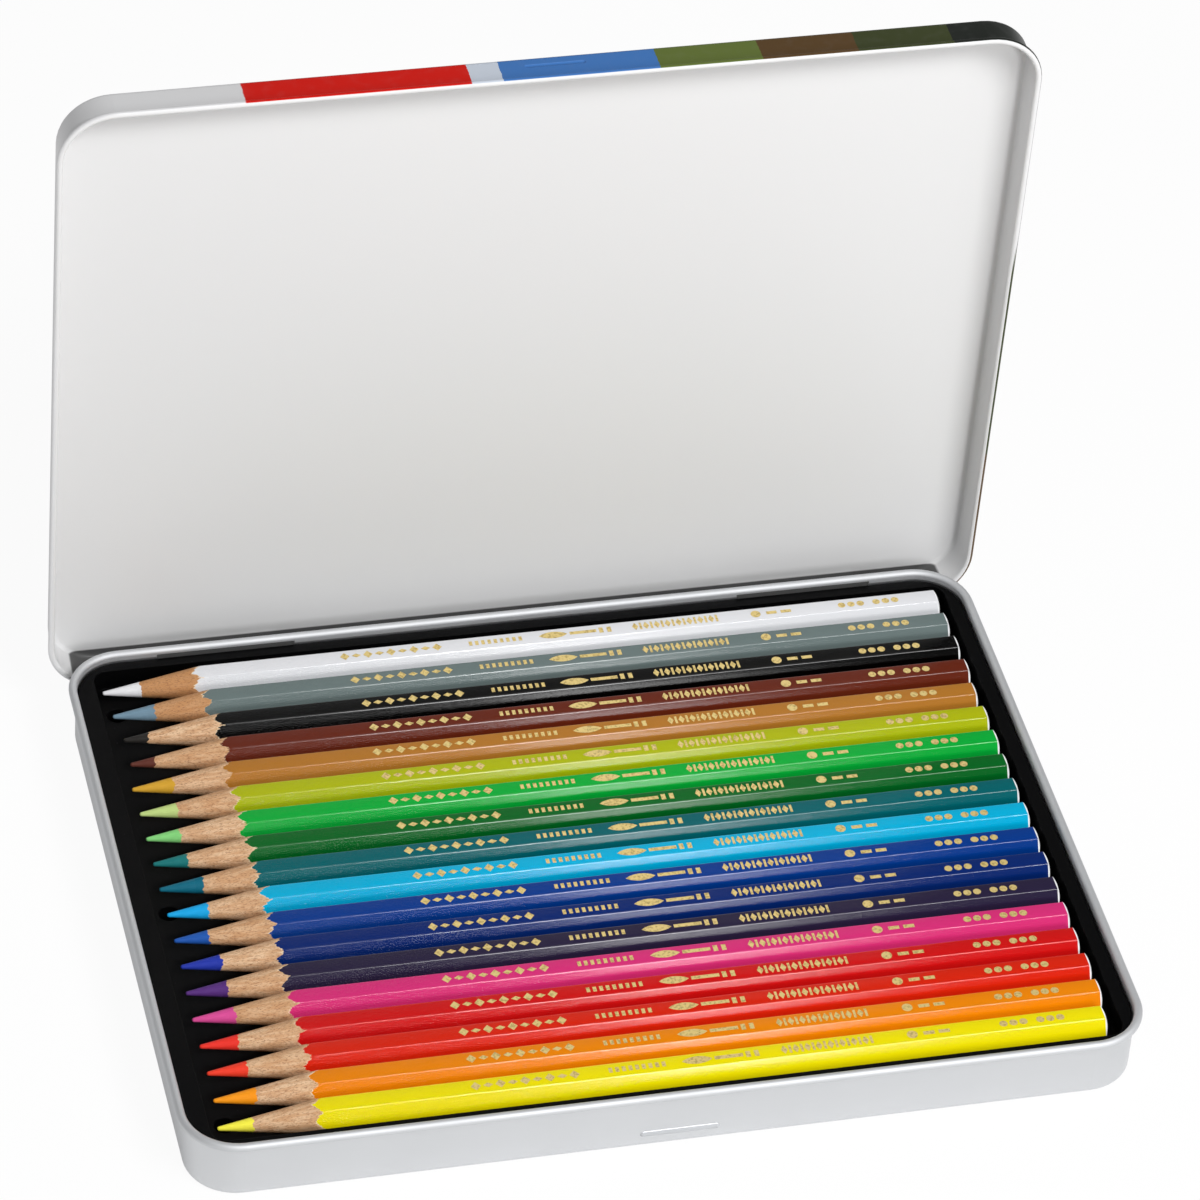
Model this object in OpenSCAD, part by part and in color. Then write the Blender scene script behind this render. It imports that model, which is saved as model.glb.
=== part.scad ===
// Flat hinged tin of eighteen hexagonal coloured pencils, in millimetres.
// Origin: centre of the underside of the base. X runs along the pencils,
// with the sharpened tips towards -X, +Y points to the hinge, +Z up.
// The lid is drawn standing open.

/* [Pencils] */
// Length of a pencil from tip to rounded end
pencil_length = 175; // [165:1:180]
// Distance from one pencil to the next
pencil_pitch = 7.4; // [7.35:0.05:9]
// Width of a pencil across its flats
across_flats = 6.31; // [5.6:0.01:6.31]
// Rounding of the six long edges
edge_r = 0.35; // [0.2:0.05:0.4]
// Thickness of the lacquer
lacquer_skin = 0.12; // [0.08:0.01:0.3]
// Diameter of the coloured lead
lead_d = 2.9; // [2:0.1:3.8]
// Radius of the worn point of the lead
tip_r = 0.42; // [0.2:0.01:0.6]
// Half angle of the sharpened cone, in degrees
cone_angle = 9; // [7:0.5:12]
// Radius of the dome that closes the blunt end
end_dome_r = 7.2; // [6:0.1:12]

/* [Tray] */
// Thickness of the formed plastic sheet
tray_sheet = 0.5; // [0.3:0.05:0.8]
// Height of the recess floor above the underside of the tin
tray_floor_z = 7.4; // [5:0.1:9]
// Depth of the recess below the ledge
recess_depth = 4.7; // [3:0.05:5.5]
// Ledge width beside the pencil tips
ledge_tips = 3.8; // [2.5:0.05:8]
// Ledge width beside the blunt ends
ledge_ends = 2.8; // [2.5:0.05:8]
// Ledge width along the hinge side
ledge_rear = 2.25; // [2.2:0.05:8]
// Ledge width along the front
ledge_front = 2.25; // [2.2:0.05:8]
// Free length in the recess before the tips
tip_room = 2.4; // [1.5:0.05:6]
// Free length in the recess behind the blunt ends
end_room = 1.3; // [0.5:0.05:4]
// Free width beside the first and the last pencil
row_room = 1.2; // [0.1:0.05:2]
// Corner radius of the recess
recess_corner_r = 3; // [3:0.5:5]
// Outer diameter of the round hollow feet
cup_d = 5; // [4:0.5:6]
// Distance of the round feet from the tip end of the recess
cup_edge = 3.8; // [3.5:0.1:6]
// Width of the cross channels under the pencils
channel_w = 10; // [6:0.5:14]
// Distance of the channels from the long sides of the recess
channel_end = 5; // [3:0.5:10]
// Place of the channel nearer the tips
channel_tips_x = -36; // [-60:1:-20]
// Place of the channel nearer the blunt ends
channel_ends_x = 44; // [20:1:60]

/* [Base] */
// Thickness of the tinplate of base and lid
sheet = 0.3; // [0.25:0.01:0.4]
// Gap between the tray and the wall around it
tray_gap = 0.3; // [0.1:0.05:0.6]
// Height of the rim above the top of the pencils
rim_above_pencils = 0.37; // [0.1:0.01:3]
// Diameter of the rolled rim bead
bead_d = 1.7; // [1.4:0.1:2.1]
// Corner radius of the rim, measured outside
rim_corner_r = 11.5; // [10:0.5:12]
// Outer radius of the edge between floor and wall
bottom_r = 1.2; // [0.8:0.1:2]
// Length of the raised bar pressed into the front wall
grip_l = 16; // [8:1:30]
// Radius of the raised bar
grip_r = 0.8; // [0.5:0.1:1.2]
// Place of the raised bar along the front
grip_x = 1; // [-30:0.5:30]
// Height of the raised bar above the underside
grip_z = 3.35; // [2.4:0.05:5]
// How far the raised bar stands out
grip_out = 0.35; // [0.1:0.05:0.5]

/* [Lid] */
// Gap between rim bead and lid skirt at the two short sides
lid_gap_side = 1.3; // [0.3:0.05:1.5]
// Gap between rim bead and lid skirt at front and rear
lid_gap_end = 0.35; // [0.3:0.05:0.6]
// Gap between the rim and the lid panel when shut
lid_gap_top = 0.1; // [0.05:0.05:0.5]
// Depth of the lid from panel to hem
lid_depth = 8.3; // [7.8:0.1:8.5]
// Diameter of the rolled hem bead
hem_d = 1.3; // [1.1:0.1:1.4]
// Corner radius of the lid, measured outside the hem
lid_corner_r = 11.5; // [9:0.5:11.5]
// Outer radius of the edge between panel and skirt
panel_edge_r = 1.2; // [0.8:0.1:1.3]
// Opening angle at which the lid is drawn, in degrees
lid_open = 88; // [0:1:88]
// Length of the snap groove in the front skirt
snap_l = 12.5; // [6:0.5:30]
// Depth of the snap groove
snap_in = 0.2; // [0.1:0.05:0.2]
// Radius of the tool that presses the snap groove
snap_r = 0.7; // [0.5:0.1:0.9]
// Distance of the snap groove from the hem
snap_up = 5.3; // [4.5:0.1:5.5]

/* [Hinge] */
// Distance of each hinge from the middle
hinge_x = 60.8; // [30:0.1:62]
// Length of each window in the rear wall
window_l = 28.5; // [15:0.5:30]
// Radius of the hinge pin across the window
pin_r = 0.5; // [0.4:0.05:0.55]
// Running clearance between pin and lid knuckle
pin_gap = 0.1; // [0.05:0.01:0.12]
// Height of the hinge axis above the hem of the shut lid
axis_up = 1; // [0.95:0.05:1.05]
// Length of the ear that holds each end of the pin
ear_l = 1; // [0.6:0.1:3]
// Gap at each end of a knuckle
knuckle_gap = 0.5; // [0.2:0.1:1]
// Height of a window below the hinge axis
window_down = 1.3; // [1:0.1:2]
// Distance of the top of a window below the top of the rim
window_top_down = 1.15; // [1.1:0.05:3]

/* [Hidden] */
PENCILS = 18;
$fn = 96;
// Overlap that joins two solids, and run of a cutter past a face
EPS = 0.01;
PAST = 1;
// Glue line between lead and wood, and wood behind the end of the lead
glue = 0.01;
lead_stop = 3;

// Plan of the recess, the tray and the tin, from the pencils outwards
recess_l = pencil_length + tip_room + end_room;
recess_w = PENCILS * pencil_pitch + 2 * row_room;
tray_l = recess_l + ledge_tips + ledge_ends;
tray_w = recess_w + ledge_rear + ledge_front;
recess_x = (ledge_tips - ledge_ends) / 2;
recess_y = (ledge_front - ledge_rear) / 2;
wall_l = tray_l + 2 * (tray_gap + sheet);
wall_w = tray_w + 2 * (tray_gap + sheet);
bead_out = bead_d - sheet;
rim_l = wall_l + 2 * bead_out;
rim_w = wall_w + 2 * bead_out;
wall_r = rim_corner_r - bead_out;
tray_r = wall_r - sheet - tray_gap;

// Heights
pencil_z = tray_floor_z + across_flats / 2;
base_h = tray_floor_z + across_flats + rim_above_pencils;
ledge_z = tray_floor_z + recess_depth;
lid_top_z = base_h + lid_gap_top + sheet;
hem_z = lid_top_z - lid_depth;

// Lid plan, outside the skirt and outside the hem
skirt_l = rim_l + 2 * (lid_gap_side + sheet);
skirt_w = rim_w + 2 * (lid_gap_end + sheet);
hem_out = hem_d - sheet;

// Hinge axis: the knuckle carries on from the outside of the rear skirt
knuckle_in = pin_r + pin_gap;
knuckle_out = knuckle_in + sheet;
axis_y = skirt_w / 2 - knuckle_out;
axis_z = hem_z + axis_up;
knuckle_l = window_l - 2 * knuckle_gap;
window_top = base_h - window_top_down;

// Pencil places. The row starts at the hinge side; each pencil lies a
// little to and fro, and its point is a little more or less used.
row_end_x = recess_x + recess_l / 2 - end_room;
slide = [-0.35, -0.2, 0, 0.1, -0.35, 0, 0.05, 0, 0, 0.1, 0.05, 0, -0.15, -0.2, -0.35, -0.1, -0.15, -1.25];
wear = [-0.65, 0, 0.75, 0.7, 0.2, 0.1, 0, 0.15, 0.1, 0.2, 0.3, 0.3, 0.1, 0.05, 0.3, 0.1, 0, 0.5];
function row_y(i) = recess_y + ((PENCILS - 1) / 2 - i) * pencil_pitch;
function end_x(i) = row_end_x + slide[i % len(slide)];
function pencil_len(i) = pencil_length - wear[i % len(wear)];

// Colours of the lacquer, from the hinge side to the front
paint = [
    [0.88, 0.88, 0.90], [0.40, 0.49, 0.49], [0.05, 0.06, 0.07], [0.42, 0.17, 0.13],
    [0.70, 0.46, 0.18], [0.68, 0.71, 0.10], [0.10, 0.68, 0.28], [0.00, 0.44, 0.20],
    [0.00, 0.44, 0.44], [0.00, 0.67, 0.86], [0.00, 0.27, 0.60], [0.02, 0.20, 0.52],
    [0.20, 0.16, 0.30], [0.84, 0.18, 0.50], [0.82, 0.12, 0.10], [0.84, 0.16, 0.10],
    [0.93, 0.56, 0.05], [0.92, 0.90, 0.02]
];
wood = [0.84, 0.67, 0.49];
steel = [0.84, 0.85, 0.87];
black = [0.12, 0.12, 0.12];

// A flat plate with rounded corners, standing on z = 0
module round_plate(l, w, r, h) {
    translate([-l / 2, r - w / 2, 0])
        cube([l, w - 2 * r, h]);
    translate([r - l / 2, -w / 2, 0])
        cube([l - 2 * r, w, h]);
    for (sx = [-1, 1], sy = [-1, 1])
        translate([sx * (l / 2 - r), sy * (w / 2 - r), 0])
            cylinder(r = r, h = h);
}

// The section of a pan's wall in x and z: floor edge, wall and rolled
// bead. The outside of the wall lies at x = 0.
module wall_section(h, edge_r, bead) {
    r = bead / 2;
    translate([-sheet, edge_r])
        square([sheet, h - edge_r - r]);
    intersection() {
        translate([-edge_r, edge_r])
            difference() {
                circle(r = edge_r);
                circle(r = edge_r - sheet);
            }
        translate([-edge_r, 0])
            square(edge_r);
    }
    translate([-2 * edge_r, 0])
        square([edge_r, sheet]);
    difference() {
        translate([r - sheet, h - r])
            difference() {
                circle(r = r);
                circle(r = r - sheet);
            }
        translate([0, h - 2 * r])
            square([sheet, r]);
    }
}

// An open pan drawn from sheet: floor down, bead up. The plan sizes are
// those of the outside of the wall.
module pan(l, w, corner_r, h, edge_r, bead) {
    for (k = [0:3]) {
        flip = k % 2 == 0 ? [l, w] : [w, l];
        rotate([0, 0, 90 * k]) {
            translate([flip.x / 2, flip.y / 2 - corner_r, 0])
                rotate([90, 0, 0])
                    linear_extrude(flip.y - 2 * corner_r)
                        wall_section(h, edge_r, bead);
            translate([flip.x / 2 - corner_r, flip.y / 2 - corner_r, 0])
                rotate_extrude(angle = 90)
                    translate([corner_r, 0])
                        wall_section(h, edge_r, bead);
        }
    }
    round_plate(l - 2 * edge_r, w - 2 * edge_r, corner_r - edge_r, sheet);
}

// A rod along X with ball ends
module rod(l, r) {
    rotate([0, 90, 0])
        cylinder(r = r, h = l - 2 * r, center = true);
    for (s = [-1, 1])
        translate([s * (l / 2 - r), 0, 0])
            sphere(r = r);
}

// The base: drawn pan, two hinge windows, each with its pin, and the grip
module base_tin() {
    color(steel) {
        difference() {
            pan(wall_l, wall_w, wall_r, base_h, bottom_r, bead_d);
            for (s = [-1, 1])
                translate([s * hinge_x - window_l / 2, wall_w / 2 - 2 * sheet, axis_z - window_down])
                    cube([window_l, 3 * sheet, window_top - axis_z + window_down]);
        }
        for (s = [-1, 1])
            translate([s * hinge_x, 0, 0])
                hinge_pin();
        difference() {
            translate([grip_x, grip_r - grip_out - wall_w / 2, grip_z])
                rod(grip_l, grip_r);
            translate([grip_x - grip_l, sheet / 2 - wall_w / 2, 0])
                cube([2 * grip_l, 3 * grip_r, 2 * grip_z]);
        }
    }
}

// A strip of the rear wall, pressed outwards and rolled into a pin
module hinge_pin() {
    pin_l = window_l + 2 * ear_l;
    translate([-pin_l / 2, axis_y, axis_z])
        rotate([0, 90, 0])
            cylinder(r = pin_r, h = pin_l);
    for (s = [-1, 1])
        translate([s * (pin_l - ear_l) / 2 - ear_l / 2, wall_w / 2 - sheet / 2, axis_z - pin_r])
            cube([ear_l, axis_y - wall_w / 2 + sheet / 2, 2 * pin_r]);
}

// The lid as it lies when shut
module lid_shut() {
    difference() {
        union() {
            translate([0, 0, lid_top_z])
                mirror([0, 0, 1])
                    pan(skirt_l, skirt_w, lid_corner_r - hem_out, lid_depth, panel_edge_r, hem_d);
            intersection() {
                snap_rod(snap_in + sheet);
                translate([-snap_l, -skirt_w / 2 + sheet / 2, hem_z])
                    cube([2 * snap_l, 2 * sheet, lid_depth]);
            }
        }
        snap_rod(snap_in);
        for (s = [-1, 1])
            translate([s * hinge_x - window_l / 2, axis_y - knuckle_out, hem_z - PAST])
                cube([window_l, 2 * knuckle_out + hem_d, axis_up + PAST + pin_r]);
    }
    for (s = [-1, 1])
        translate([s * hinge_x - knuckle_l / 2, axis_y, axis_z])
            knuckle();
}

// The round tool that presses the snap groove into the front skirt
module snap_rod(depth) {
    translate([0, -skirt_w / 2 - snap_r + snap_in, hem_z + snap_up])
        rod(snap_l + 2 * (depth - snap_in), snap_r + depth - snap_in);
}

// A tab of the rear skirt, curled three quarters round the hinge pin
module knuckle() {
    difference() {
        rotate([0, 90, 0])
            cylinder(r = knuckle_out, h = knuckle_l);
        translate([-PAST, 0, 0])
            rotate([0, 90, 0])
                cylinder(r = knuckle_in, h = knuckle_l + 2 * PAST);
        translate([-PAST, 0, 0])
            cube([knuckle_l + 2 * PAST, 2 * knuckle_out, 2 * knuckle_out]);
    }
    translate([0, knuckle_in, 0])
        cube([knuckle_l, sheet, pin_r + EPS]);
}

module lid() {
    color(steel)
        translate([0, axis_y, axis_z])
            rotate([-lid_open, 0, 0])
                translate([0, -axis_y, -axis_z])
                    lid_shut();
}

// The formed tray: ledge, outer skirt, recess, round feet and channels. It
// stands on the feet and the channels; the skirt ends above the floor edge.
module tray() {
    t = tray_sheet;
    cup_x = recess_x - recess_l / 2 + cup_edge;
    cup_y = (PENCILS / 2 - 1) * pencil_pitch;
    channel_l = recess_w - 2 * channel_end;
    color(black)
        difference() {
            union() {
                difference() {
                    translate([0, 0, bottom_r])
                        round_plate(tray_l, tray_w, tray_r, ledge_z - bottom_r);
                    translate([0, 0, bottom_r - PAST])
                        round_plate(tray_l - 2 * t, tray_w - 2 * t, tray_r - t,
                                    ledge_z - bottom_r + PAST - t);
                }
                translate([recess_x, recess_y, tray_floor_z - t])
                    round_plate(recess_l + 2 * t, recess_w + 2 * t, recess_corner_r + t, recess_depth + t);
                for (y = [-cup_y, 0, cup_y])
                    translate([cup_x, recess_y + y, sheet])
                        cylinder(d = cup_d, h = tray_floor_z - sheet);
                for (x = [channel_tips_x, channel_ends_x])
                    translate([x - channel_w / 2, recess_y - channel_l / 2, sheet])
                        cube([channel_w, channel_l, tray_floor_z - sheet]);
            }
            translate([recess_x, recess_y, tray_floor_z])
                round_plate(recess_l, recess_w, recess_corner_r, recess_depth + PAST);
            for (y = [-cup_y, 0, cup_y])
                translate([cup_x, recess_y + y, sheet + t])
                    cylinder(d = cup_d - 2 * t, h = tray_floor_z);
            for (x = [channel_tips_x, channel_ends_x])
                translate([x - channel_w / 2 + t, recess_y - channel_l / 2 + t, sheet + t])
                    cube([channel_w - 2 * t, channel_l - 2 * t, tray_floor_z]);
        }
}

// Everything inside the sharpened cone and the rounded end, about X, with
// the tip at x = 0
module pencil_envelope(len, dome_r) {
    big_r = across_flats;
    cone_start = tip_r * (1 - sin(cone_angle));
    cone_l = (big_r - tip_r * cos(cone_angle)) / tan(cone_angle);
    rotate([0, 90, 0]) {
        translate([0, 0, tip_r])
            sphere(r = tip_r);
        rotate_extrude()
            polygon([
                [0, cone_start], [tip_r * cos(cone_angle), cone_start],
                [big_r, cone_start + cone_l], [big_r, len - end_dome_r], [0, len - end_dome_r]
            ]);
        translate([0, 0, len - end_dome_r])
            sphere(r = dome_r);
    }
}

// A six-sided bar about X with a flat on top and rounded long edges
module round_hex_bar(flats, r, len) {
    side = (flats / 2 - r) / cos(30);
    for (k = [0:2])
        rotate([60 * k, 0, 0])
            translate([0, -side / 2, -flats / 2])
                cube([len, side, flats]);
    for (k = [0:5])
        rotate([60 * k, 0, 0])
            translate([0, side, 0])
                rotate([0, 90, 0])
                    cylinder(r = r, h = len);
}

// A six-sided bar about X with a flat on top and sharp edges
module hex_bar(flats, len) {
    rotate([0, 90, 0])
        rotate([0, 0, 30])
            cylinder(d = flats / cos(30), h = len, $fn = 6);
}

module place(i) {
    translate([end_x(i) - pencil_len(i), row_y(i), pencil_z])
        children();
}

// The lacquer and the dipped end: a thin shell round the wood
module lacquer(i) {
    inner = across_flats - 2 * lacquer_skin;
    color(paint[i])
        place(i)
            difference() {
                intersection() {
                    round_hex_bar(across_flats, edge_r, pencil_len(i));
                    pencil_envelope(pencil_len(i), end_dome_r);
                }
                intersection() {
                    translate([-PAST, 0, 0])
                        hex_bar(inner, pencil_len(i) + PAST);
                    casing_envelope(i);
                }
            }
}

// Room for the wood inside the lacquer, open towards the tip
module casing_envelope(i) {
    rotate([0, 90, 0]) {
        translate([0, 0, -PAST])
            cylinder(r = across_flats, h = pencil_len(i) - end_dome_r + PAST);
        translate([0, 0, pencil_len(i) - end_dome_r])
            sphere(r = end_dome_r - lacquer_skin);
    }
}

// The cedar casing, bored for the lead and sharpened
module casing(i) {
    color(wood)
        place(i)
            difference() {
                intersection() {
                    hex_bar(across_flats - 2 * lacquer_skin, pencil_len(i));
                    pencil_envelope(pencil_len(i), end_dome_r - lacquer_skin);
                }
                translate([-PAST, 0, 0])
                    rotate([0, 90, 0])
                        cylinder(d = lead_d + 2 * glue, h = pencil_len(i) - lead_stop + PAST);
            }
}

// The lead, which ends a little short of the dipped end
module lead(i) {
    color(paint[i])
        place(i)
            intersection() {
                rotate([0, 90, 0])
                    cylinder(d = lead_d, h = pencil_len(i) - lead_stop - glue);
                pencil_envelope(pencil_len(i), end_dome_r);
            }
}

base_tin();
lid();
tray();
lacquer(0);  // pencil_01_lacquer
casing(0);  // pencil_01_casing
lead(0);  // pencil_01_lead
lacquer(1);  // pencil_02_lacquer
casing(1);  // pencil_02_casing
lead(1);  // pencil_02_lead
lacquer(2);  // pencil_03_lacquer
casing(2);  // pencil_03_casing
lead(2);  // pencil_03_lead
lacquer(3);  // pencil_04_lacquer
casing(3);  // pencil_04_casing
lead(3);  // pencil_04_lead
lacquer(4);  // pencil_05_lacquer
casing(4);  // pencil_05_casing
lead(4);  // pencil_05_lead
lacquer(5);  // pencil_06_lacquer
casing(5);  // pencil_06_casing
lead(5);  // pencil_06_lead
lacquer(6);  // pencil_07_lacquer
casing(6);  // pencil_07_casing
lead(6);  // pencil_07_lead
lacquer(7);  // pencil_08_lacquer
casing(7);  // pencil_08_casing
lead(7);  // pencil_08_lead
lacquer(8);  // pencil_09_lacquer
casing(8);  // pencil_09_casing
lead(8);  // pencil_09_lead
lacquer(9);  // pencil_10_lacquer
casing(9);  // pencil_10_casing
lead(9);  // pencil_10_lead
lacquer(10);  // pencil_11_lacquer
casing(10);  // pencil_11_casing
lead(10);  // pencil_11_lead
lacquer(11);  // pencil_12_lacquer
casing(11);  // pencil_12_casing
lead(11);  // pencil_12_lead
lacquer(12);  // pencil_13_lacquer
casing(12);  // pencil_13_casing
lead(12);  // pencil_13_lead
lacquer(13);  // pencil_14_lacquer
casing(13);  // pencil_14_casing
lead(13);  // pencil_14_lead
lacquer(14);  // pencil_15_lacquer
casing(14);  // pencil_15_casing
lead(14);  // pencil_15_lead
lacquer(15);  // pencil_16_lacquer
casing(15);  // pencil_16_casing
lead(15);  // pencil_16_lead
lacquer(16);  // pencil_17_lacquer
casing(16);  // pencil_17_casing
lead(16);  // pencil_17_lead
lacquer(17);  // pencil_18_lacquer
casing(17);  // pencil_18_casing
lead(17);  // pencil_18_lead
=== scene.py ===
import math
import bpy
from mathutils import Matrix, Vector


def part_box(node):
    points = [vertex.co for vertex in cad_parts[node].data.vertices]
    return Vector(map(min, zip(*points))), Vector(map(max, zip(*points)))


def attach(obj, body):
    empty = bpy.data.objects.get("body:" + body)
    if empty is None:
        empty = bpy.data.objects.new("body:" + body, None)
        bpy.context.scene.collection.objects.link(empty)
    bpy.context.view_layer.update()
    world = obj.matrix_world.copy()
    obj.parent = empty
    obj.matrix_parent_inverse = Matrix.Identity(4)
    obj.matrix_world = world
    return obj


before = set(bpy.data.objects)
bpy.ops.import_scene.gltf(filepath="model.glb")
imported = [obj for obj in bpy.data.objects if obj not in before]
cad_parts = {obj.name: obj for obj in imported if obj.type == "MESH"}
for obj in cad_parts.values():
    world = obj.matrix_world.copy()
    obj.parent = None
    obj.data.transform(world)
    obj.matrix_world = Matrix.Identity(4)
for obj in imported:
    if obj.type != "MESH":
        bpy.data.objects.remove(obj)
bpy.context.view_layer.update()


# The base is one pan drawn from bright tinplate, with a satin clear varnish
# over it. The plate's rolling marks run along the tin, and handling has
# dulled what stands proud: the rolled bead and the grip bar.
STEEL = (0.70, 0.71, 0.725, 1.0)
STEEL_SHADE = (0.665, 0.675, 0.69, 1.0)
STEEL_CLOUDS = 60.0
STEEL_ROUGHNESS = 0.46
STEEL_MARKS = 0.05
STEEL_MARK_STRENGTH = 0.08
STEEL_MARK_DEPTH = 0.00005
MARK_SCALE = (60.0, 2600.0, 2600.0)
SMEAR_SCALE = 45.0
SMEAR_SPREAD = 0.12
DULL_EXTRA = 0.30
BEAD_DULL = 0.75
BEAD_HEIGHT = 0.0018
BEAD_OUT = 0.0014
BEAD_BLEND = 0.0002
GRIP_DULL = 1.5
GRIP_START = 0.00002
GRIP_FULL = 0.00010


def group(name, inputs, outputs):
    tree = bpy.data.node_groups.new(name, "ShaderNodeTree")
    for label, kind, value in inputs:
        socket = tree.interface.new_socket(label, in_out="INPUT", socket_type=kind)
        if value is not None:
            socket.default_value = value
    for label, kind in outputs:
        tree.interface.new_socket(label, in_out="OUTPUT", socket_type=kind)
    return tree, tree.nodes.new("NodeGroupInput").outputs, tree.nodes.new("NodeGroupOutput").inputs


def placed_group(tree, node_group, vector, **values):
    node = tree.nodes.new("ShaderNodeGroup")
    node.node_tree = node_group
    for label, value in values.items():
        node.inputs[label.replace("_", " ")].default_value = value
    tree.links.new(vector, node.inputs["Vector"])
    return node


def math_node(tree, operation, a, b=None):
    node = tree.nodes.new("ShaderNodeMath")
    node.operation = operation
    for socket, value in zip(node.inputs, (a, b)):
        if isinstance(value, (int, float)):
            socket.default_value = value
        elif value is not None:
            tree.links.new(value, socket)
    return node.outputs[0]


def vector_node(tree, operation, a, b=None):
    node = tree.nodes.new("ShaderNodeVectorMath")
    node.operation = operation
    for socket, value in zip(node.inputs, (a, b)):
        if isinstance(value, tuple):
            socket.default_value = value
        elif value is not None:
            tree.links.new(value, socket)
    return node.outputs["Value" if operation in ("LENGTH", "DOT_PRODUCT") else "Vector"]


def split(tree, vector):
    node = tree.nodes.new("ShaderNodeSeparateXYZ")
    tree.links.new(vector, node.inputs[0])
    return node.outputs


def step_node(tree, value, low, high, to_low=0.0, to_high=1.0):
    node = tree.nodes.new("ShaderNodeMapRange")
    node.interpolation_type = "SMOOTHSTEP"
    tree.links.new(value, node.inputs["Value"])
    node.inputs["From Min"].default_value = low
    node.inputs["From Max"].default_value = high
    node.inputs["To Min"].default_value = to_low
    node.inputs["To Max"].default_value = to_high
    return node.outputs["Result"]


def mix_color(tree, factor, a, b):
    node = tree.nodes.new("ShaderNodeMix")
    node.data_type = "RGBA"
    for socket, value in zip((node.inputs["Factor"], node.inputs[6], node.inputs[7]), (factor, a, b)):
        if isinstance(value, tuple):
            socket.default_value = value
        else:
            tree.links.new(value, socket)
    return node.outputs[2]


def noise_node(tree, vector, scale, detail=2.0, roughness=0.5):
    node = tree.nodes.new("ShaderNodeTexNoise")
    node.inputs["Detail"].default_value = detail
    node.inputs["Roughness"].default_value = roughness
    if isinstance(scale, tuple):
        node.inputs["Scale"].default_value = 1.0
        vector = vector_node(tree, "MULTIPLY", vector, scale)
    else:
        node.inputs["Scale"].default_value = scale
    tree.links.new(vector, node.inputs["Vector"])
    return node.outputs["Fac"]


def swing(tree, noise, spread, middle=0.5):
    return math_node(tree, "MULTIPLY", math_node(tree, "SUBTRACT", noise, middle), spread)


def bump(tree, height, strength, distance, shader):
    node = tree.nodes.new("ShaderNodeBump")
    node.inputs["Strength"].default_value = strength
    node.inputs["Distance"].default_value = distance
    tree.links.new(height, node.inputs["Height"])
    tree.links.new(node.outputs["Normal"], shader.inputs["Normal"])
    return node


def material(name):
    finish = bpy.data.materials.new(name)
    finish.use_nodes = True
    tree = finish.node_tree
    return finish, tree, tree.nodes["Principled BSDF"], tree.nodes.new("ShaderNodeTexCoord").outputs


def dress(node, finish):
    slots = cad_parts[node].material_slots
    if slots:
        for slot in slots:
            slot.material = finish
    else:
        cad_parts[node].data.materials.append(finish)


def rolled_plate_group():
    tree, given, result = group(
        "rolled_plate",
        [("Vector", "NodeSocketVector", None), ("Roughness", "NodeSocketFloat", STEEL_ROUGHNESS),
         ("Marks", "NodeSocketFloat", STEEL_MARKS), ("Dull", "NodeSocketFloat", 0.0)],
        [("Roughness", "NodeSocketFloat"), ("Height", "NodeSocketFloat")])
    lines = noise_node(tree, given["Vector"], MARK_SCALE, detail=3.0)
    marks = swing(tree, lines, given["Marks"])
    smears = swing(tree, noise_node(tree, given["Vector"], SMEAR_SCALE, detail=3.0), SMEAR_SPREAD)
    total = math_node(tree, "ADD", math_node(tree, "ADD", marks, smears), given["Roughness"])
    dull = math_node(tree, "MULTIPLY", given["Dull"], DULL_EXTRA)
    tree.links.new(math_node(tree, "ADD", total, dull), result["Roughness"])
    tree.links.new(lines, result["Height"])
    return tree


rolled_plate = rolled_plate_group()


def base_finish():
    low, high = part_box("base_tin")
    finish, tree, shader, where = material("tinplate")
    shader.inputs["Metallic"].default_value = 1.0
    cloud = noise_node(tree, where["Object"], STEEL_CLOUDS)
    tree.links.new(mix_color(tree, cloud, STEEL_SHADE, STEEL), shader.inputs["Base Color"])
    plate = placed_group(
        tree, rolled_plate, where["Object"], Roughness=STEEL_ROUGHNESS, Marks=STEEL_MARKS)
    tree.links.new(plate.outputs["Roughness"], shader.inputs["Roughness"])
    bump(tree, plate.outputs["Height"], STEEL_MARK_STRENGTH, STEEL_MARK_DEPTH, shader)
    place = split(tree, where["Object"])
    under_bead = high[2] - BEAD_HEIGHT
    on_bead = step_node(tree, place["Z"], under_bead, under_bead + BEAD_BLEND)
    wall = low[1] + BEAD_OUT
    proud = step_node(tree, place["Y"], wall - GRIP_START, wall - GRIP_FULL)
    on_grip = math_node(tree, "SUBTRACT", proud, math_node(tree, "MULTIPLY", proud, on_bead))
    bead_dull = math_node(tree, "MULTIPLY", on_bead, BEAD_DULL)
    grip_dull = math_node(tree, "MULTIPLY", on_grip, GRIP_DULL)
    tree.links.new(math_node(tree, "ADD", bead_dull, grip_dull), plate.inputs["Dull"])
    return finish


dress("base_tin", base_finish())


# The lid is drawn from the same plate, enamelled satin white inside and over
# the rolled hem. Low down at the hinge its inside is painted dark grey, a painted
# shade where the windows in the base's back wall look onto it. The outside is
# printed with broad slanting bands and, at one end, with silver ink.
ENAMEL = (0.73, 0.73, 0.732, 1.0)
ENAMEL_ROUGHNESS = 0.32
ENAMEL_SPECULAR = 0.2
ENAMEL_MARKS = 0.02
ENAMEL_MARK_STRENGTH = 0.05
ENAMEL_MARK_DEPTH = 0.00003
HEM_HEIGHT = 0.0018
HEM_BLEND = 0.0003
HEM_TURN_RANGE = (-0.60, -0.75)
OUTSIDE_BLEND = 0.0002
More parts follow.
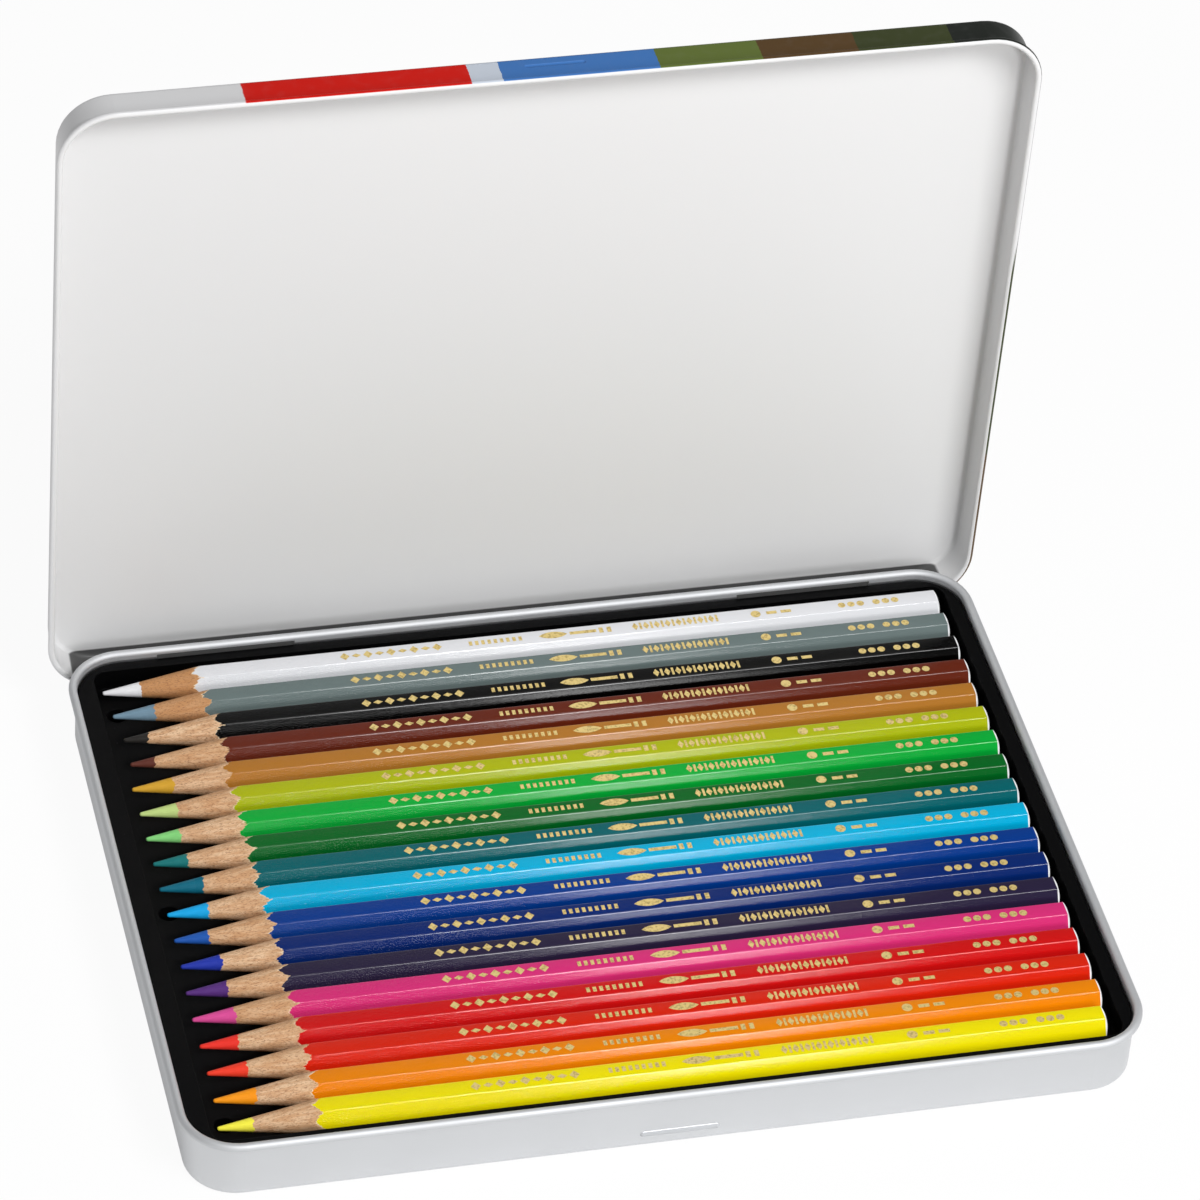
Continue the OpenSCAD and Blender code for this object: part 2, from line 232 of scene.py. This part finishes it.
# Painted shade: the dark grey below, used low on the lid's inside at the hinge, stands for the shade seen
# through the base's windows.
HINGE_PAINTED_SHADE = (0.10, 0.10, 0.10, 1.0)
HINGE_SHADE_HEIGHT = 0.0090
HINGE_SHADE_BLEND = 0.0004
PRINT_START = 0.036
PRINT_LENGTH = 0.158
PRINT_SLANT = 0.35
PRINT_EDGE = 0.001
EDGE_WANDER_SCALE = (700.0, 700.0, 90.0)
EDGE_WANDER = 0.003
WASH_SCALE = (420.0, 420.0, 40.0)
WASH_RANGE = (0.45, 0.75)
WASH_SHARE = 0.03
INK_WASH = (0.30, 0.30, 0.30, 1.0)
SILVER_INK = (0.80, 0.80, 0.81, 1.0)
SILVER_SHINE = 0.3
BANDS = [
    (0.00, (0.60, 0.006, 0.001)), (0.277, (0.55, 0.60, 0.68)), (0.314, (0.05, 0.17, 0.46)),
    (0.510, (0.11, 0.15, 0.030)), (0.640, (0.09, 0.048, 0.015)), (0.760, (0.040, 0.050, 0.015)),
    (0.880, (0.012, 0.015, 0.012))]


def printed_bands(tree, vector, left, top):
    slanting = vector_node(tree, "DOT_PRODUCT", vector, (1.0, 0.0, PRINT_SLANT))
    past_start = math_node(tree, "SUBTRACT", slanting, left + PRINT_START + PRINT_SLANT * top)
    along = math_node(tree, "DIVIDE", past_start, PRINT_LENGTH)
    wander = swing(tree, noise_node(tree, vector, EDGE_WANDER_SCALE), EDGE_WANDER)
    along = math_node(tree, "ADD", along, wander)
    ramp = tree.nodes.new("ShaderNodeValToRGB")
    ramp.color_ramp.interpolation = "CONSTANT"
    marks = ramp.color_ramp.elements
    while len(marks) < len(BANDS):
        marks.new(0.5)
    for mark, (place, color) in zip(marks, BANDS):
        mark.position = place
        mark.color = color + (1.0,)
    tree.links.new(along, ramp.inputs["Fac"])
    strokes = step_node(tree, noise_node(tree, vector, WASH_SCALE), *WASH_RANGE)
    pressed = math_node(tree, "MULTIPLY", strokes, WASH_SHARE)
    return mix_color(tree, pressed, ramp.outputs["Color"], INK_WASH), along


def lid_finish():
    low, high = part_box("lid")
    finish, tree, shader, where = material("lid_print_and_enamel")
    place = split(tree, where["Object"])
    middle = ((low[0] + high[0]) / 2, low[1], (low[2] + high[2]) / 2)
    from_middle = vector_node(tree, "SUBTRACT", where["Object"], middle)
    facing_out = vector_node(tree, "DOT_PRODUCT", from_middle, where["Normal"])
    outward = step_node(tree, facing_out, -OUTSIDE_BLEND, OUTSIDE_BLEND)
    hem_top = low[1] + HEM_HEIGHT
    on_hem = step_node(tree, place["Y"], hem_top + HEM_BLEND, hem_top)
    turned = step_node(tree, split(tree, where["Normal"])["Y"], *HEM_TURN_RANGE)
    rolled_over = math_node(tree, "MULTIPLY", on_hem, turned)
    outside = math_node(tree, "MULTIPLY", outward, math_node(tree, "SUBTRACT", 1.0, rolled_over))
    colors, along = printed_bands(tree, where["Object"], low[0], high[2])
    printed = math_node(tree, "MULTIPLY", outside, step_node(tree, along, -PRINT_EDGE, PRINT_EDGE))
    # Painted shade: below this height the inside of the lid takes the dark grey instead of the white
    # enamel.
    hinge_shade = step_node(tree, place["Z"], HINGE_SHADE_HEIGHT, HINGE_SHADE_HEIGHT - HINGE_SHADE_BLEND)
    inside = mix_color(tree, hinge_shade, ENAMEL, HINGE_PAINTED_SHADE)
    plain = mix_color(tree, outside, inside, SILVER_INK)
    tree.links.new(mix_color(tree, printed, plain, colors), shader.inputs["Base Color"])
    silver = math_node(tree, "SUBTRACT", outside, printed)
    tree.links.new(math_node(tree, "MULTIPLY", silver, SILVER_SHINE), shader.inputs["Metallic"])
    shader.inputs["Specular IOR Level"].default_value = ENAMEL_SPECULAR
    plate = placed_group(
        tree, rolled_plate, where["Object"], Roughness=ENAMEL_ROUGHNESS, Marks=ENAMEL_MARKS)
    tree.links.new(plate.outputs["Roughness"], shader.inputs["Roughness"])
    bump(tree, plate.outputs["Height"], ENAMEL_MARK_STRENGTH, ENAMEL_MARK_DEPTH, shader)
    return finish


dress("lid", lid_finish())


# The tray is vacuum-formed from black polystyrene sheet. Its skin is satin,
# with softened edges, a faint orange peel and a little dust.
TRAY_BLACK = (0.0020, 0.0020, 0.0022, 1.0)
TRAY_SPECULAR = 0.05
TRAY_CLOUDS = 90.0
TRAY_CLOUD_RANGE = (0.3, 0.7)
TRAY_ROUGHNESS = (0.28, 0.40)
TRAY_EDGE = 0.0003
TRAY_EDGE_SAMPLES = 4
DUST = (0.05, 0.05, 0.055, 1.0)
DUST_SCALE = 2400.0
DUST_RANGE = (0.76, 0.82)
PEEL_SCALE = 900.0
PEEL_STRENGTH = 0.12
PEEL_DEPTH = 0.00005


def tray_finish():
    finish, tree, shader, where = material("formed_plastic")
    specks = step_node(tree, noise_node(tree, where["Object"], DUST_SCALE, detail=1.0), *DUST_RANGE)
    cloud = noise_node(tree, where["Object"], TRAY_CLOUDS, detail=3.0)
    dusty = math_node(tree, "MULTIPLY", specks, cloud)
    tree.links.new(mix_color(tree, dusty, TRAY_BLACK, DUST), shader.inputs["Base Color"])
    satin = step_node(tree, cloud, *TRAY_CLOUD_RANGE, *TRAY_ROUGHNESS)
    tree.links.new(satin, shader.inputs["Roughness"])
    shader.inputs["Specular IOR Level"].default_value = TRAY_SPECULAR
    peel = noise_node(tree, where["Object"], PEEL_SCALE)
    skin = bump(tree, peel, PEEL_STRENGTH, PEEL_DEPTH, shader)
    softened = tree.nodes.new("ShaderNodeBevel")
    softened.samples = TRAY_EDGE_SAMPLES
    softened.inputs["Radius"].default_value = TRAY_EDGE
    tree.links.new(softened.outputs["Normal"], skin.inputs["Normal"])
    return finish


dress("tray", tray_finish())


# Each pencil is a cedar casing with a coloured lead, under several coats of
# gloss lacquer. The sharpener cuts the lacquer in short tongues with a ragged
# rim where the pale primer shows, and the blunt end is dipped white.
CEDAR = (0.63, 0.375, 0.205, 1.0)
CEDAR_DARK = (0.28, 0.12, 0.055, 1.0)
CEDAR_PALE = (0.77, 0.53, 0.33, 1.0)
CEDAR_WARM = (0.50, 0.235, 0.085, 1.0)
CEDAR_SEED = (3.1, 0.7, 1.3)
VESSEL_SCALE = (1300.0, 6500.0, 6500.0)
VESSEL_RANGE = (0.50, 0.65)
VESSEL_DARK = 0.80
RING_SCALE = (90.0, 1500.0, 1500.0)
RING_RANGE = (0.40, 0.62)
WOOD_ROUGHNESS = 0.65
WOOD_SPECULAR = 0.2
WOOD_STRENGTH = 0.6
WOOD_DEPTH = 0.00010

CONE_ANGLE = math.radians(9.0)
TIP_RADIUS = 0.00042
BARREL_HALF = 0.003155
CORNER_RADIUS = 0.00359
FACET_HALF = 0.00162
AROUND = (0.12, 1.0, 1.0)
TONGUE_WEAR = 0.0009
TEETH_SCALE = 1700.0
TEETH_MIDDLE = 0.38
TEETH_DEPTH = 0.0022
CUT_BLEND = 0.00008
PRIMER = (0.78, 0.62, 0.42, 1.0)
PRIMER_SCALE = 600.0
PRIMER_RANGE = (0.45, 0.60)
PRIMER_WIDTHS = (0.00005, 0.00028)
PRIMER_ROUGHNESS = 0.6
PRIMER_BLEND = 0.00006
DIP_WHITE = (0.84, 0.85, 0.86, 1.0)
DIP_LENGTH = 0.0010
DIP_BLEND = 0.00004

LACQUER_ROUGHNESS = 0.10
LACQUER_SPECULAR = 0.10
CORNER_START = 0.90
CORNER_GLOSS = 0.65
CORNER_ROUGHNESS = 0.06
CROWN_DEPTH = 0.00010
WAVE_SCALE = (260.0, 900.0, 900.0)
WAVE_HEIGHT = 0.1
GRAIN_SCALE = (2400.0, 5000.0, 5000.0)
GRAIN = 0.14
WORN_GRAIN = 1.0
WORN_RANGE = (0.095, 0.030)

LEAD_EDGE_SCALE = 900.0
LEAD_RAGGED = 0.0020
LEAD_BLEND = 0.00004
LEAD_STREAKS = (300.0, 3500.0, 3500.0)
LEAD_PALE = 1.15
LEAD_PALE_LIFT = 0.01
LEAD_DARK = 0.85
LEAD_ROUGHNESS = 0.4
LEAD_SPECULAR = 0.15
LEAD_STRENGTH = 0.2
LEAD_DEPTH = 0.00006

# Per pencil: lacquer colour, lead colour, length of lead shown in
# millimetres, and how warm its wood is.
PENCILS = [
    ("white", (0.71, 0.715, 0.74), (0.76, 0.76, 0.78), 7.7, 0.85),
    ("slate", (0.136, 0.178, 0.175), (0.16, 0.26, 0.34), 8.4, 0.75),
    ("black", (0.0006, 0.0006, 0.0006), (0.018, 0.016, 0.014), 4.9, 0.0),
    ("brown", (0.120, 0.017, 0.006), (0.11, 0.028, 0.018), 4.8, 0.35),
    ("ochre", (0.410, 0.165, 0.022), (0.62, 0.34, 0.028), 8.1, 0.15),
    ("olive", (0.395, 0.437, 0.004), (0.50, 0.64, 0.22), 7.3, 0.3),
    ("green", (0.002, 0.375, 0.038), (0.22, 0.62, 0.19), 6.6, 0.0),
    ("dark_green", (0.0005, 0.118, 0.014), (0.008, 0.17, 0.17), 6.7, 0.1),
    ("teal", (0.0005, 0.110, 0.125), (0.002, 0.13, 0.20), 8.5, 0.25),
    ("cyan", (0.0005, 0.395, 0.645), (0.006, 0.37, 0.76), 8.0, 0.1),
    ("blue", (0.0008, 0.037, 0.235), (0.012, 0.09, 0.40), 6.7, 0.3),
    ("ultramarine", (0.0015, 0.018, 0.138), (0.016, 0.036, 0.37), 7.8, 0.0),
    ("violet", (0.020, 0.014, 0.043), (0.09, 0.026, 0.19), 8.0, 0.2),
    ("magenta", (0.620, 0.027, 0.170), (0.66, 0.070, 0.29), 8.2, 0.35),
    ("red", (0.560, 0.006, 0.006), (0.80, 0.032, 0.020), 7.5, 0.1),
    ("scarlet", (0.620, 0.016, 0.003), (0.84, 0.046, 0.020), 7.7, 0.2),
    ("orange", (0.760, 0.215, 0.001), (0.92, 0.30, 0.006), 8.0, 0.0),
    ("yellow", (0.785, 0.675, 0.001), (0.93, 0.82, 0.060), 6.8, 0.15)]


def cedar_group():
    tree, given, result = group(
        "cedar_grain",
        [("Vector", "NodeSocketVector", None), ("Seed", "NodeSocketVector", None),
         ("Warmth", "NodeSocketFloat", 0.0)],
        [("Color", "NodeSocketColor"), ("Height", "NodeSocketFloat")])
    moved = vector_node(tree, "ADD", given["Vector"], given["Seed"])
    vessels = noise_node(tree, moved, VESSEL_SCALE, detail=3.0, roughness=0.7)
    rings = noise_node(tree, moved, RING_SCALE, detail=3.0, roughness=0.6)
    tone = mix_color(tree, step_node(tree, rings, *RING_RANGE), CEDAR, CEDAR_PALE)
    tone = mix_color(tree, given["Warmth"], tone, CEDAR_WARM)
    dark = math_node(tree, "MULTIPLY", step_node(tree, vessels, *VESSEL_RANGE), VESSEL_DARK)
    tree.links.new(mix_color(tree, dark, tone, CEDAR_DARK), result["Color"])
    tree.links.new(vessels, result["Height"])
    return tree


def sharpened_group():
    tree, given, result = group(
        "sharpened_end",
        [("Vector", "NodeSocketVector", None), ("Tip", "NodeSocketVector", None),
         ("End", "NodeSocketFloat", 0.0), ("Lead Length", "NodeSocketFloat", 0.0)],
        [("Bare Wood", "NodeSocketFloat"), ("Primer", "NodeSocketFloat"), ("Dip", "NodeSocketFloat"),
         ("Lead", "NodeSocketFloat"), ("Crown", "NodeSocketFloat"), ("Corner", "NodeSocketFloat"),
         ("Near Tip", "NodeSocketFloat")])
    local = vector_node(tree, "SUBTRACT", given["Vector"], given["Tip"])
    from_tip = split(tree, local)["X"]
    radius = vector_node(tree, "LENGTH", vector_node(tree, "MULTIPLY", local, (0.0, 1.0, 1.0)))
    around = vector_node(tree, "MULTIPLY", given["Vector"], AROUND)

    beyond_tip = math_node(tree, "SUBTRACT", radius, TIP_RADIUS)
    cone = math_node(tree, "DIVIDE", beyond_tip, math.tan(CONE_ANGLE))
    behind = math_node(tree, "SUBTRACT", from_tip, cone)
    flatness = step_node(tree, radius, CORNER_RADIUS, BARREL_HALF)
    tongue = math_node(tree, "MULTIPLY", flatness, TONGUE_WEAR)
    jagged = noise_node(tree, around, TEETH_SCALE, detail=3.0, roughness=0.65)
    edge = math_node(tree, "ADD", tongue, swing(tree, jagged, TEETH_DEPTH, TEETH_MIDDLE))
    short = math_node(tree, "SUBTRACT", edge, behind)
    tree.links.new(step_node(tree, short, 0.0, CUT_BLEND), result["Primer"])
    patches = noise_node(tree, around, PRIMER_SCALE, detail=1.0)
    primer_width = step_node(tree, patches, *PRIMER_RANGE, *PRIMER_WIDTHS)
    past_primer = math_node(tree, "SUBTRACT", short, primer_width)
    tree.links.new(step_node(tree, past_primer, 0.0, PRIMER_BLEND), result["Bare Wood"])

    from_end = math_node(tree, "SUBTRACT", given["End"], from_tip)
    dipped = step_node(tree, from_end, DIP_LENGTH + DIP_BLEND, DIP_LENGTH - DIP_BLEND)
    tree.links.new(dipped, result["Dip"])

    wave = swing(tree, noise_node(tree, around, LEAD_EDGE_SCALE, detail=3.0), LEAD_RAGGED)
    shown = math_node(tree, "SUBTRACT", math_node(tree, "ADD", given["Lead Length"], wave), from_tip)
    tree.links.new(step_node(tree, shown, -LEAD_BLEND, LEAD_BLEND), result["Lead"])

    across = math_node(tree, "SUBTRACT", math_node(tree, "MULTIPLY", radius, radius), BARREL_HALF ** 2)
    crown = math_node(tree, "DIVIDE", across, FACET_HALF ** 2)
    tree.links.new(crown, result["Crown"])
    tree.links.new(step_node(tree, crown, CORNER_START, 1.0), result["Corner"])
    tree.links.new(step_node(tree, from_tip, *WORN_RANGE), result["Near Tip"])
    return tree


cedar_grain = cedar_group()
sharpened_end = sharpened_group()


def wood_and_ends(tree, where, pencil, lead_shown, warmth):
    low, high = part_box(pencil + "_casing")
    tip_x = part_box(pencil + "_lead")[0][0]
    tip = (tip_x, (low[1] + high[1]) / 2, (low[2] + high[2]) / 2)
    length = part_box(pencil + "_lacquer")[1][0] - tip_x
    ends = placed_group(
        tree, sharpened_end, where["Object"], Tip=tip, End=length, Lead_Length=lead_shown / 1000.0)
    seed = tuple(share * tip[1] for share in CEDAR_SEED)
    wood = placed_group(tree, cedar_grain, where["Object"], Seed=seed, Warmth=warmth)
    return ends.outputs, wood.outputs


def lacquer_finish(pencil, color_name, color, lead_shown, warmth):
    finish, tree, shader, where = material(color_name + "_lacquer")
    ends, wood = wood_and_ends(tree, where, pencil, lead_shown, warmth)
    coat = mix_color(tree, ends["Dip"], color + (1.0,), DIP_WHITE)
    edge = mix_color(tree, ends["Primer"], coat, PRIMER)
    tree.links.new(mix_color(tree, ends["Bare Wood"], edge, wood["Color"]), shader.inputs["Base Color"])
    gloss = step_node(tree, ends["Primer"], 0.0, 1.0, LACQUER_ROUGHNESS, PRIMER_ROUGHNESS)
    tree.links.new(gloss, shader.inputs["Roughness"])
    shader.inputs["Specular IOR Level"].default_value = LACQUER_SPECULAR
    lacquered = math_node(tree, "SUBTRACT", 1.0, ends["Primer"])
    corners = math_node(tree, "MULTIPLY", ends["Corner"], lacquered)
    tree.links.new(math_node(tree, "MULTIPLY", corners, CORNER_GLOSS), shader.inputs["Coat Weight"])
    shader.inputs["Coat Roughness"].default_value = CORNER_ROUGHNESS
    waves = math_node(tree, "MULTIPLY", noise_node(tree, where["Object"], WAVE_SCALE), WAVE_HEIGHT)
    worn = math_node(tree, "MULTIPLY", ends["Near Tip"], WORN_GRAIN)
    coarse = math_node(tree, "ADD", worn, GRAIN)
    grain = math_node(tree, "MULTIPLY", noise_node(tree, where["Object"], GRAIN_SCALE), coarse)
    ripples = math_node(tree, "ADD", waves, grain)
    bump(tree, math_node(tree, "SUBTRACT", ripples, ends["Crown"]), 1.0, CROWN_DEPTH, shader)
    return finish


def casing_finish(pencil, color_name, lead_color, lead_shown, warmth):
    finish, tree, shader, where = material(color_name + "_pencil_cedar")
    ends, wood = wood_and_ends(tree, where, pencil, lead_shown, warmth)
    surface = mix_color(tree, ends["Lead"], wood["Color"], lead_color + (1.0,))
    tree.links.new(surface, shader.inputs["Base Color"])
    shader.inputs["Roughness"].default_value = WOOD_ROUGHNESS
    shader.inputs["Specular IOR Level"].default_value = WOOD_SPECULAR
    bump(tree, wood["Height"], WOOD_STRENGTH, WOOD_DEPTH, shader)
    return finish


def lead_finish(pencil, color_name, color, lead_shown, warmth):
    finish, tree, shader, where = material(color_name + "_lead")
    ends, wood = wood_and_ends(tree, where, pencil, lead_shown, warmth)
    streak = noise_node(tree, where["Object"], LEAD_STREAKS, detail=3.0)
    pale = tuple(min(1.0, LEAD_PALE * c + LEAD_PALE_LIFT) for c in color) + (1.0,)
    dark = tuple(LEAD_DARK * c for c in color) + (1.0,)
    tone = mix_color(tree, streak, dark, pale)
    tree.links.new(mix_color(tree, ends["Lead"], wood["Color"], tone), shader.inputs["Base Color"])
    shader.inputs["Roughness"].default_value = LEAD_ROUGHNESS
    shader.inputs["Specular IOR Level"].default_value = LEAD_SPECULAR
    bump(tree, streak, LEAD_STRENGTH, LEAD_DEPTH, shader)
    return finish


for index, (color_name, lacquer_color, lead_color, lead_shown, warmth) in enumerate(PENCILS):
    pencil = "pencil_%02d" % (index + 1)
    dress(pencil + "_lacquer", lacquer_finish(pencil, color_name, lacquer_color, lead_shown, warmth))
    dress(pencil + "_casing", casing_finish(pencil, color_name, lead_color, lead_shown, warmth))
    dress(pencil + "_lead", lead_finish(pencil, color_name, lead_color, lead_shown, warmth))


# A row of gold ornaments is pressed with hot foil on the top facet of each
# barrel: lozenges, a long spindle, bars, a ring and dots, with no lettering.
# The foil is a few hundredths of a millimetre thick and a little worn.
GOLD = (0.80, 0.62, 0.24, 1.0)
GOLD_WORN = (0.52, 0.38, 0.13, 1.0)
GOLD_METAL = 0.45
WEAR_SCALE = 1800.0
WEAR_RANGE = (0.45, 0.70)
FOIL_MATT_RANGE = (0.3, 0.7)
FOIL_ROUGHNESS = (0.35, 0.6)
FOIL_LIFT = 0.00002
LACQUER_START = 0.0225
ROUND_POINTS = 20
SPINDLE_STEPS = 8
SPINDLE_POWER = 0.7

# A place with AT in its name is a share of the lacquered length. Other places,
# pitches and sizes are in metres, and a size is length and width.
CHAIN_AT = 0.178
CHAIN_COUNT = 9
CHAIN_PITCH = 0.0024
CHAIN_LARGE = (0.0020, 0.0022)
CHAIN_SMALL = (0.0020, 0.0012)
TICKS_PAST_CHAIN = 0.0262
TICK_COUNT = 9
TICK_PITCH = 0.0013
TICK = (0.0007, 0.0013)
SPINDLE_AT = 0.462
SPINDLE = (0.0060, 0.0020)
RULE_AT = 0.503
RULE = (0.0056, 0.0009)
STUDS_AT = (0.528, 0.539)
STUD = (0.0009, 0.0016)
BORDER_AT = 0.575
BORDER_COUNT = 8
BORDER_PITCH = 0.0023
BORDER_LOZENGE = (0.0013, 0.0023)
BORDER_BAR = (0.0005, 0.0021)
RING_AT = 0.742
RING_DIAMETER = 0.0021
DASHES_AT = (0.764, 0.784)
DASH = (0.0022, 0.0009)
DOTS_AT = 0.862
DOT_COUNT = 6
DOT_PITCH = 0.0020
DOTS_BEFORE_GAP = 3
DOT_GAP = 0.0014
DOT_DIAMETER = 0.0016


def lozenge(x, size):
    length, width = size
    return [(x - length / 2, 0.0), (x, -width / 2), (x + length / 2, 0.0), (x, width / 2)]


def bar(x, size):
    length, width = size
    return [(x - length / 2, -width / 2), (x + length / 2, -width / 2),
            (x + length / 2, width / 2), (x - length / 2, width / 2)]


def dot(x, diameter):
    turns = [2 * math.pi * k / ROUND_POINTS for k in range(ROUND_POINTS)]
    return [(x + diameter / 2 * math.cos(t), diameter / 2 * math.sin(t)) for t in turns]


def spindle(x, size):
    length, width = size
    steps = [k / SPINDLE_STEPS for k in range(SPINDLE_STEPS + 1)]
    lower = [(x + length * (u - 0.5), -width / 2 * math.sin(math.pi * u) ** SPINDLE_POWER) for u in steps]
    return lower + [(px, -py) for px, py in reversed(lower[1:-1])]


def ornaments(run):
    shapes = []
    for k in range(CHAIN_COUNT):
        shapes.append(lozenge(CHAIN_AT * run + CHAIN_PITCH * k, CHAIN_SMALL if k % 2 else CHAIN_LARGE))
    for k in range(TICK_COUNT):
        shapes.append(bar(CHAIN_AT * run + TICKS_PAST_CHAIN + TICK_PITCH * k, TICK))
    shapes += [spindle(SPINDLE_AT * run, SPINDLE), bar(RULE_AT * run, RULE)]
    shapes += [bar(place * run, STUD) for place in STUDS_AT]
    for k in range(BORDER_COUNT):
        x = BORDER_AT * run + BORDER_PITCH * k
        shapes += [lozenge(x, BORDER_LOZENGE), bar(x + BORDER_PITCH / 2, BORDER_BAR)]
    shapes.append(dot(RING_AT * run, RING_DIAMETER))
    shapes += [bar(place * run, DASH) for place in DASHES_AT]
    for k in range(DOT_COUNT):
        gap = DOT_GAP if k >= DOTS_BEFORE_GAP else 0.0
        shapes.append(dot(DOTS_AT * run + DOT_PITCH * k + gap, DOT_DIAMETER))
    return shapes


def foil_finish():
    finish, tree, shader, where = material("gold_foil")
    wear = noise_node(tree, where["Object"], WEAR_SCALE, detail=3.0)
    tone = mix_color(tree, step_node(tree, wear, *WEAR_RANGE), GOLD, GOLD_WORN)
    tree.links.new(tone, shader.inputs["Base Color"])
    matt = step_node(tree, wear, *FOIL_MATT_RANGE, *FOIL_ROUGHNESS)
    tree.links.new(matt, shader.inputs["Roughness"])
    shader.inputs["Metallic"].default_value = GOLD_METAL
    return finish


def new_object(name, data):
    made = bpy.data.objects.new(name, data)
    bpy.context.scene.collection.objects.link(made)
    return made


gold_foil = foil_finish()

for index in range(len(PENCILS)):
    pencil = "pencil_%02d" % (index + 1)
    low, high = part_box(pencil + "_lacquer")
    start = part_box(pencil + "_lead")[0][0] + LACQUER_START
    middle = (low[1] + high[1]) / 2
    points, faces = [], []
    for shape in ornaments(high[0] - start):
        faces.append(tuple(range(len(points), len(points) + len(shape))))
        points += [(start + x, middle + y, high[2] + FOIL_LIFT) for x, y in shape]
    foil_mesh = bpy.data.meshes.new(pencil + "_foil")
    foil_mesh.from_pydata(points, [], faces)
    foil_mesh.materials.append(gold_foil)
    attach(new_object(pencil + "_foil", foil_mesh), pencil)


# The floor is a plain white sweep that keeps the tin's shadow, wide enough
# to fill the picture, and the room round it is a plain pale grey.
FLOOR = (0.88, 0.88, 0.88, 1.0)
FLOOR_ROUGHNESS = 0.9
FLOOR_HALF = 12.0
FLOOR_CORNERS = [(-1, -1), (1, -1), (1, 1), (-1, 1)]
WHITE_SHARE = 0.94
MIRRORED_WHITE_SHARE = 0.4
WHITE = (1.0, 1.0, 1.0, 1.0)
SKY = (0.34, 0.34, 0.34, 1.0)


def floor_finish():
    finish, tree, shader, where = material("floor_paper")
    shader.inputs["Base Color"].default_value = FLOOR
    shader.inputs["Roughness"].default_value = FLOOR_ROUGHNESS
    light = tree.nodes.new("ShaderNodeEmission")
    light.inputs["Color"].default_value = WHITE
    seen = tree.nodes.new("ShaderNodeMixShader")
    path = tree.nodes.new("ShaderNodeLightPath").outputs
    mirror_rays = math_node(tree, "MAXIMUM", path["Is Glossy Ray"], path["Is Transmission Ray"])
    mirrored = math_node(tree, "MULTIPLY", mirror_rays, MIRRORED_WHITE_SHARE)
    direct = math_node(tree, "MULTIPLY", path["Is Camera Ray"], WHITE_SHARE)
    tree.links.new(math_node(tree, "MAXIMUM", direct, mirrored), seen.inputs["Fac"])
    tree.links.new(shader.outputs[0], seen.inputs[1])
    tree.links.new(light.outputs[0], seen.inputs[2])
    tree.links.new(seen.outputs[0], tree.nodes["Material Output"].inputs["Surface"])
    return finish


floor_mesh = bpy.data.meshes.new("floor")
floor_points = [(x * FLOOR_HALF, y * FLOOR_HALF, 0.0) for x, y in FLOOR_CORNERS]
floor_mesh.from_pydata(floor_points, [], [(0, 1, 2, 3)])
floor_mesh.materials.append(floor_finish())
new_object("floor", floor_mesh)

world = bpy.data.worlds.new("studio")
world.use_nodes = True
world.node_tree.nodes["Background"].inputs["Color"].default_value = SKY
bpy.context.scene.world = world


# Two soft boxes light the table from the front right: a high one, which also
# draws the bright line along each barrel's edge, and a low oval one, which
# lays a sheen on the middle of the barrels.
LAMPS = [
    ("high_box", "RECTANGLE", (0.33, -0.62, 0.90), (0.0, 0.03, 0.03), (0.46, 0.26), 8.4),
    ("low_box", "ELLIPSE", (0.205, -0.90, 0.455), (0.0, 0.0, 0.01), (0.14, 0.28), 2.7)]

for lamp_name, outline, place, aim, size, power in LAMPS:
    lamp_data = bpy.data.lights.new(lamp_name, "AREA")
    lamp_data.shape = outline
    lamp_data.size, lamp_data.size_y = size
    lamp_data.energy = power
    lamp = new_object(lamp_name, lamp_data)
    lamp.location = place
    lamp.rotation_euler = (Vector(aim) - Vector(place)).to_track_quat("-Z", "Y").to_euler()


# The camera stands in front of the tin, above it and to the left, where the
# photograph was taken from.
CAMERA_PLACE = (-0.262960, -0.903876, 0.867727)
CAMERA_FORWARD = Vector((0.21162, 0.73557, -0.643548)).normalized()
CAMERA_RIGHT = Vector((0.97224, -0.225692, 0.061742)).normalized()
CAMERA_LENS = 193.07
SENSOR = 36.0

camera_data = bpy.data.cameras.new("camera")
camera_data.lens = CAMERA_LENS
camera_data.sensor_width = SENSOR
camera = new_object("camera", camera_data)
turn = camera.matrix_world.to_3x3()
turn.col[0] = CAMERA_RIGHT
turn.col[1] = CAMERA_RIGHT.cross(CAMERA_FORWARD)
turn.col[2] = -CAMERA_FORWARD
camera.matrix_world = turn.to_4x4()
camera.location = CAMERA_PLACE
bpy.context.scene.camera = camera
bpy.context.scene.view_settings.view_transform = "Standard"
